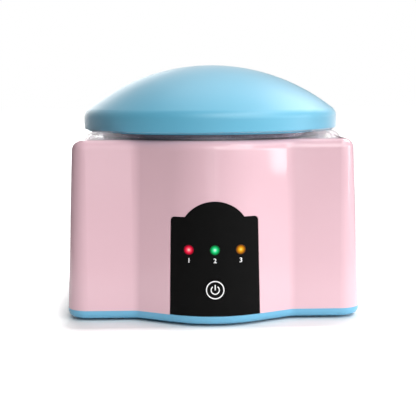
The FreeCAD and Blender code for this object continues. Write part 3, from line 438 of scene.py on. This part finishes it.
# ---------------------------------------------------------------- wiring
# Mains wires from the inlet to its terminal block, heater wires round the shield to the thermostat,
# the fuse and the plate, and a flat ribbon up to the panel's board. Braided sleeve over silicone.
def glass_braid():
    """Glass-fibre sleeve: off-white and dull, with a woven cell drawn at 0.9 mm to show, each cell darkened
    towards its edge by painted shade between the yarns.
    """
    made, tree, shader, place = finish("glass_braid", "#D9D3C5", {"Roughness": 0.8, "IOR": 1.5})
    cell_mm = 0.9
    cells = add(tree, "ShaderNodeTexVoronoi", {"Scale": 1 / (cell_mm * MM)}, {"Vector": place})
    # painted shade: each woven cell goes darker towards its edge, where the yarns meet
    vary_colour(tree, shader, ("#E2DDD0", "#B9B2A2"), cells.outputs["Distance"])
    grain(tree, shader, place, grain_mm=cell_mm, depth_mm=0.1, strength=0.5)
    return made


def grey_ribbon():
    """Flat PVC cable: grey, satin, with painted shade in darker bands where a groove lies between its
    conductors, every 1.27 mm across its width.
    """
    made, tree, shader, place = finish("grey_ribbon", "#8F9194", {"Roughness": 0.5, "IOR": 1.53})
    pitch = 1.27 * MM
    band = math.tau / 20  # the width of a wave texture's band at scale 1
    wave = add(tree, "ShaderNodeTexWave", {"Scale": band / pitch, "bands_direction": "X"},
               {"Vector": place})
    # painted shade: darker bands across the width stand in for the shade in the grooves between the
    # conductors
    vary_colour(tree, shader, ("#7C7E81", "#9EA0A3"), wave.outputs["Fac"])
    return made


BRAID = glass_braid()
dress("inlet_leads", BRAID)
dress("heater_leads", BRAID)
dress("panel_ribbon", grey_ribbon())


# ---------------------------------------------------------------- housing
# The tall lobed shell: a round bulge front and back between two hollow valleys and flat shoulders.
# Pale pink ABS from a lapped tool, so it is as glossy as enamel, with a trace of orange peel.
def gloss_pink_abs():
    """High-gloss ABS: mirror-like highlights over an even pastel, softened by a slow orange peel."""
    made, tree, shader, place = finish("gloss_pink_abs", "#E6BFC9",
                                       {"Roughness": 0.07, "IOR": 1.54, "Specular IOR Level": 0.45})
    mottle(tree, shader, place, ("#E5BEC8", "#E7C0CA"), patch_mm=45)
    grain(tree, shader, place, grain_mm=9, depth_mm=0.02, strength=0.12)
    return made


dress("housing", gloss_pink_abs())


# ---------------------------------------------------------------- control panel, lamps and power key
# A thin black fascia let into the bulge, with three flush light pipes and a round key. The fascia
# and the key are polycarbonate with an anti-glare matt face, and the marks are white pad print.
def matt_black_film():
    """Anti-glare black: almost no shine, with a velvet grain drawn at 0.3 mm to show."""
    made, tree, shader, place = finish("matt_black_film", "#0D0D0D",
                                       {"Roughness": 0.55, "IOR": 1.58, "Specular IOR Level": 0.05})
    mottle(tree, shader, place, ("#0B0B0B", "#0F0F0F"), patch_mm=6)
    grain(tree, shader, place, grain_mm=0.3, depth_mm=0.02, strength=0.3)
    return made


def lit_lens(name, node, tones):
    """A lit light pipe: brightest over its LED and deeper towards its edge, in four tones."""
    made, tree, shader, place = finish(name, "#0C0C0C",
                                       {"Roughness": 0.3, "IOR": 1.58, "Specular IOR Level": 0.05,
                                        "Emission Strength": 1.0})
    shares_of_radius = (0.0, 0.35, 0.65, 1.0)
    low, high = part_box(node)
    centre = (low + high) / 2
    radius = (high.x - low.x) / 2
    flat = add(tree, "ShaderNodeMapping", {"Location": (-centre.x, 0, -centre.z), "Scale": (1, 0, 1)},
               {"Vector": place})
    away = add(tree, "ShaderNodeVectorMath", {"operation": "LENGTH"}, {0: flat.outputs[0]})
    share = add(tree, "ShaderNodeMath", {"operation": "DIVIDE", 1: radius}, {0: away.outputs["Value"]})
    ramp = add(tree, "ShaderNodeValToRGB", {}, {"Fac": share.outputs[0]})
    marks = ramp.color_ramp.elements  # a new ramp has two
    for i, (stop, tone) in enumerate(zip(shares_of_radius, tones)):
        mark = marks[i] if i < 2 else marks.new(stop)
        mark.position = stop
        mark.color = linear(tone)
    tree.links.new(ramp.outputs["Color"], shader.inputs["Emission Color"])
    return made


FILM = matt_black_film()
dress("control_panel", FILM)
dress("power_button", FILM)
dress("red_lamp", lit_lens("lit_red_lens", "red_lamp", ("#FFDCCC", "#FF5068", "#E00A38", "#40060E")))
dress("green_lamp", lit_lens("lit_green_lens", "green_lamp", ("#EAFFF6", "#40F0A4", "#00B45C", "#062A1A")))
dress("amber_lamp", lit_lens("lit_amber_lens", "amber_lamp", ("#FFE870", "#F6B010", "#C07008", "#2A1C10")))


def print_ink():
    """White pad-printing ink: opaque, flat, and a little uneven."""
    made, tree, shader, place = finish("print_ink", "#FFFFFF", {"Roughness": 0.5, "IOR": 1.5})
    mottle(tree, shader, place, ("#F4F4F4", "#FFFFFF"), patch_mm=1)
    return made


def stroke(flat, line, width, closed=False):
    """Add a printed stroke of one width along a line of (x, z) points, with round ends if it is open."""
    last = len(line) - 1
    end_steps = 8
    pairs = []
    for i, (x, z) in enumerate(line):
        behind = line[i - 1] if closed or i else line[0]
        ahead = line[(i + 1) % len(line)] if closed or i < last else line[last]
        way = Vector((ahead[0] - behind[0], 0, ahead[1] - behind[1])).normalized()
        side = Vector((-way.z, 0, way.x)) * width / 2
        here = Vector((x, 0, z))
        pairs.append([flat.verts.new(here + side), flat.verts.new(here - side)])
        if not closed and i in (0, last):
            out = -way if i == 0 else way
            turns = [math.pi * k / end_steps for k in range(1, end_steps)]
            cap = [flat.verts.new(here + side * math.cos(t) + out * math.sin(t) * width / 2) for t in turns]
            flat.faces.new([pairs[i][0], *cap, pairs[i][1]])
    for i in range(len(line) if closed else last):
        (a, b), (c, d) = pairs[i], pairs[(i + 1) % len(line)]
        flat.faces.new((a, b, d, c))


def print_on(name, flat, node, body, ink):
    """Lay a flat print, drawn in X and Z, on the front of a node, as a film a few hundredths thick."""
    proud, sunk = 0.04 * MM, 0.05 * MM
    in_front, backwards = -1, Vector((0, 1, 0))
    mesh = nodes[node].data
    surface = BVHTree.FromPolygons([v.co for v in mesh.vertices], [p.vertices for p in mesh.polygons])
    bmesh.ops.triangulate(flat, faces=flat.faces)
    face = list(flat.faces)
    for vert in flat.verts:
        hit = surface.ray_cast(Vector((vert.co.x, in_front, vert.co.z)), backwards)[0]
        vert.co.y = hit.y - proud
    back = bmesh.ops.extrude_face_region(flat, geom=face)["geom"]
    for vert in (item for item in back if isinstance(item, bmesh.types.BMVert)):
        vert.co.y += proud + sunk
    bmesh.ops.recalc_face_normals(flat, faces=flat.faces)
    data = bpy.data.meshes.new(name)
    flat.to_mesh(data)
    flat.free()
    data.materials.append(ink)
    piece = put_in_scene(name, data)
    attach(piece, body)


def arc(x, z, radius, start, sweep, count):
    """Points along an arc, its start and sweep in degrees."""
    return [(x + radius * math.cos(math.radians(start + sweep * i / count)),
             z + radius * math.sin(math.radians(start + sweep * i / count))) for i in range(count + 1)]


INK = print_ink()


def print_key():
    """The ring round the key's edge, and inside it the common mark for power: a bar in an open ring."""
    low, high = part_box("power_button")
    x, z = (low.x + high.x) / 2, (low.z + high.z) / 2
    ring_radius, mark_radius, line = 4.98 * MM, 2.35 * MM, 0.62 * MM
    up, gap = 90, 84
    bar = [mark_radius * (0.05 + 0.28 * i) for i in range(5)]  # from the middle to just past the open ring
    ring = bmesh.new()
    stroke(ring, arc(x, z, ring_radius, start=up, sweep=360, count=96)[:-1], line, closed=True)
    print_on("key_ring", ring, "power_button", "power_key", INK)
    mark = bmesh.new()
    stroke(mark, arc(x, z, mark_radius, start=up + gap / 2, sweep=360 - gap, count=48), line)
    stroke(mark, [(x, z + height) for height in bar], line)
    print_on("key_mark", mark, "power_button", "power_key", INK)


def print_number(text, node, below, height):
    """A plain figure under a lamp, a little bolder than its type."""
    figure_share, bolder = 0.7, 0.03  # a figure's height in its type, and how far its strokes swell
    low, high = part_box(node)
    curve = bpy.data.curves.new(f"figure_{text}", "FONT")
    curve.body = text
    curve.align_x = "CENTER"
    curve.align_y = "CENTER"
    curve.size = height / figure_share
    curve.offset = bolder * height
    holder = put_in_scene(curve.name, curve)
    drawn = settled_mesh(holder)
    bpy.data.objects.remove(holder)
    flat = bmesh.new()
    flat.from_mesh(drawn)
    bmesh.ops.remove_doubles(flat, verts=flat.verts, dist=0.0001 * MM)
    for vert in flat.verts:
        vert.co = Vector(((low.x + high.x) / 2 + vert.co.x, 0, low.z - below + vert.co.y))
    print_on(f"figure_{text}", flat, "control_panel", "machine", INK)


print_key()
for text, lamp in (("1", "red_lamp"), ("2", "green_lamp"), ("3", "amber_lamp")):
    print_number(text, lamp, below=3.3 * MM, height=2.6 * MM)


# ---------------------------------------------------------------- control board behind the panel
# A narrow board screwed to four bosses, which carries the three LEDs and the switch that the key
# presses. Green laminate, clear epoxy LEDs, a black switch with a white plunger.
def solder_mask():
    """Green lacquer over copper tracks: glossy, with paler bands where a track lies under it."""
    made, tree, shader, place = finish("solder_mask", "#0F4A2B", {"Roughness": 0.25, "IOR": 1.55})
    tree.links.new(copper_tracks(tree, place), shader.inputs["Base Color"])
    return made


def led_epoxy():
    """Cast clear epoxy, faintly cloudy."""
    made, tree, shader, place = finish("led_epoxy", "#E9EAE6",
                                       {"Roughness": 0.12, "IOR": 1.55, "Transmission Weight": 0.6})
    mottle(tree, shader, place, ("#E2E3DE", "#F0F1EE"), patch_mm=1)
    return made


def white_acetal():
    """Moulded acetal: white, waxy and smooth."""
    made, tree, shader, place = finish("white_acetal", "#E9E8E3", {"Roughness": 0.35, "IOR": 1.48})
    mottle(tree, shader, place, ("#E3E2DC", "#EEEDE9"), patch_mm=1)
    return made


def drive_board_screws():
    """The board's four screws, driven forwards into the bosses behind the panel."""
    low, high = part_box("board_screws")
    edge = SMALL_HEAD_RADIUS * MM
    seat = high.y - SMALL_HEAD * MM
    length = (high.y - low.y) / MM - SMALL_HEAD
    places = [(x, seat, z) for z in (low.z + edge, high.z - edge) for x in (low.x + edge, high.x - edge)]
    forwards = (math.pi / 2, 0, 0)
    piece = screw("board_screw", SMALL_HEAD_RADIUS, SMALL_HEAD, SMALL_SHANK, length, SMALL_PITCH)
    stand_in("board_screws", piece, places, ZINC, "machine", tilt=forwards, step=0.8)


dress("control_board", solder_mask())
dress("indicator_leds", led_epoxy())
dress("power_switch", NYLON)
dress("switch_plunger", white_acetal())
drive_board_screws()


# ---------------------------------------------------------------- clear finger cover
# A one-piece moulded cover over the pot, with a collar round each of its five finger ports and a
# groove that takes the lid's lip. Clear acrylic, glossy all over, a little grey in its thick edges.
def clear_acrylic():
    """Clear acrylic: sharp reflections on a thin shell seen straight through, with a faint white bloom."""
    made, tree, shader, place = finish("clear_acrylic", "#F1F4F5",
                                       {"Roughness": 0.04, "IOR": 1.49, "Alpha": 0.42,
                                        "Transmission Weight": 0.8})
    mottle(tree, shader, place, ("#EEF2F3", "#F6F8F8"), patch_mm=20)
    return made


dress("finger_cover", clear_acrylic())


# ---------------------------------------------------------------- dome lid
# The lift-off lid: a spherical crown on an upright rim, with a lip inside that drops in the cover's
# groove. Light blue ABS with a soft satin face, moulded in one.
def satin_lid_abs():
    """Satin ABS with a soft-touch face: broad, gentle highlights over a fine, even grain."""
    made, tree, shader, place = finish("satin_lid_abs", "#62B7D6",
                                       {"Roughness": 0.42, "IOR": 1.5, "Specular IOR Level": 0.8,
                                        "Sheen Weight": 0.9, "Sheen Roughness": 0.4})
    mottle(tree, shader, place, ("#60B5D4", "#64B9D8"), patch_mm=40)
    grain(tree, shader, place, grain_mm=0.6, depth_mm=0.02, strength=0.12)
    return made


dress("dome_lid", satin_lid_abs())


# ---------------------------------------------------------------- studio
# A white sweep under soft boxes: the largest stands high on the front right, and the others go round
# by the right to the back. The left has one thin strip. The strips stand close, for the narrow
# streaks on the glossy flanks.
def seen_straight(tree):
    """1 for what the camera sees, straight or through a clear piece, and 0 for all other light."""
    ray = add(tree, "ShaderNodeLightPath").outputs
    seen = add(tree, "ShaderNodeMath", {"operation": "MAXIMUM"},
               {0: ray["Is Camera Ray"], 1: ray["Is Transmission Ray"]})
    return seen.outputs[0]


def make_floor():
    """The floor: white where the object stands, and bleached white to the eye a little way off.

    Farther away it is grey to what it lights and is mirrored in, as a small sweep in a dark room is.
    """
    half, foot = 6.0, 0.078  # half the floor, and half the machine's foot
    bleach_from, bleached = 0.008, 0.03  # these and the next two are distances from the foot
    near, far = 0.1, 0.3
    near_glow = 0.25
    data = bpy.data.meshes.new("floor")
    square = [(-half, -half, 0), (half, -half, 0), (half, half, 0), (-half, half, 0)]
    data.from_pydata(square, [], [(0, 1, 2, 3)])
    made, tree, shader, place = finish("studio_white", "#F2F2F2", {"Roughness": 0.6})
    shader.inputs["Emission Color"].default_value = linear("#FFFFFF")
    side = add(tree, "ShaderNodeVectorMath", {"operation": "ABSOLUTE"}, {0: place})
    past = add(tree, "ShaderNodeVectorMath", {"operation": "SUBTRACT", 1: (foot, foot, 0)},
               {0: side.outputs[0]})
    outside = add(tree, "ShaderNodeVectorMath", {"operation": "MAXIMUM", 1: (0, 0, 0)}, {0: past.outputs[0]})
    distance = add(tree, "ShaderNodeVectorMath", {"operation": "LENGTH"}, {0: outside.outputs[0]})
    away = distance.outputs["Value"]
    bleach = add(tree, "ShaderNodeMapRange", {"From Min": bleach_from, "From Max": bleached},
                 {"Value": away})
    glow = add(tree, "ShaderNodeMapRange",
               {"From Min": near, "From Max": far, "To Min": near_glow, "To Max": 0.0}, {"Value": away})
    shown = add(tree, "ShaderNodeMath", {"operation": "MAXIMUM"},
                {0: seen_straight(tree), 1: glow.outputs[0]})
    strength = add(tree, "ShaderNodeMath", {"operation": "MULTIPLY"},
                   {0: bleach.outputs[0], 1: shown.outputs[0]})
    tree.links.new(strength.outputs[0], shader.inputs["Emission Strength"])
    greyer = add(tree, "ShaderNodeMapRange", {"From Min": near, "From Max": far}, {"Value": away})
    vary_colour(tree, shader, ("#F2F2F2", "#707070"), greyer.outputs[0])
    data.materials.append(made)
    floor = put_in_scene("floor", data)


def make_light(name, azimuth, elevation, power, size=(1.5, 1.5), distance=3, upright=False):
    """A soft box that faces the middle of the object. Azimuth 0 is in front, 90 to the right.

    An upright one is a panel that stands with its middle at that elevation and faces level.
    """
    a, e = math.radians(azimuth), math.radians(elevation)
    way = Vector((math.sin(a) * math.cos(e), -math.cos(a) * math.cos(e), math.sin(e)))
    middle = Vector((0, 0, 0.08))
    data = bpy.data.lights.new(name, "AREA")
    data.shape = "RECTANGLE"
    data.size, data.size_y = size
    data.energy = power
    lamp = put_in_scene(name, data)
    lamp.location = middle + way * distance
    facing = Vector((-way.x, -way.y, 0)) if upright else -way
    lamp.rotation_euler = facing.to_track_quat("-Z", "Y").to_euler()
    lamp.visible_camera = False


def make_world():
    """White to the camera and through clear parts, and a faint even glow round the object."""
    world = bpy.data.worlds.new("studio")
    world.use_nodes = True
    tree = world.node_tree
    tree.nodes.clear()
    glow = add(tree, "ShaderNodeBackground", {"Color": linear("#FFFFFF"), "Strength": 0.02})
    white = add(tree, "ShaderNodeBackground", {"Color": linear("#FFFFFF"), "Strength": 1.0})
    both = add(tree, "ShaderNodeMixShader", {},
               {0: seen_straight(tree), 1: glow.outputs[0], 2: white.outputs[0]})
    add(tree, "ShaderNodeOutputWorld", {}, {"Surface": both.outputs[0]})
    bpy.context.scene.world = world


def light_studio():
    """Soft boxes from the front round by the right to the back, tall panels, and strips close by."""
    panel = {"elevation": 11.3, "size": (0.9, 1.35), "distance": 3.06, "upright": True}
    strip = {"elevation": 9.4, "size": (0.06, 0.54), "distance": 1.2, "upright": True}
    make_light("key", azimuth=32, elevation=40, power=63, size=(2.6, 2.4))
    make_light("front", azimuth=0, elevation=40, power=10)
    make_light("front_low", azimuth=0, power=3.3, **panel)
    make_light("right_low", azimuth=45, elevation=15, power=9)
    make_light("right_panel", azimuth=86, power=19, **panel)
    make_light("right_high", azimuth=80, elevation=60, power=22)
    make_light("right_back", azimuth=135, elevation=40, power=36)
    make_light("back_high", azimuth=180, elevation=65, power=13)
    make_light("left_back", azimuth=-164, elevation=10, power=22, size=(1.2, 1.2))
    make_light("back_wall", azimuth=180, elevation=33, power=1.2, size=(2.0, 0.9), distance=1.3)
    make_light("left_strip", azimuth=-90, power=0.12, **strip)
    make_light("corner_strip", azimuth=71, power=0.9, **strip)
    make_light("window", azimuth=57, elevation=6.7, power=0.24, size=(0.03, 0.3), distance=1.2, upright=True)


make_floor()
make_world()
light_studio()


def make_camera():
    """A long lens in front of the machine, a little to its left and level with the lid."""
    distance, height = 0.5832, 0.1355
    azimuth, pitch, pan, roll = -1.51, 7.6, 0.13, 0.35
    around = math.radians(azimuth)
    data = bpy.data.cameras.new("camera")
    data.sensor_width = 36
    data.lens = 76.6
    data.clip_start, data.clip_end = 0.05, 30
    made = put_in_scene("camera", data)
    made.location = (math.sin(around) * distance, -math.cos(around) * distance, height)
    made.rotation_euler = Euler((math.radians(90 - pitch), math.radians(roll), around + math.radians(pan)))
    bpy.context.scene.camera = made


make_camera()
bpy.context.scene.view_settings.view_transform = "Standard"
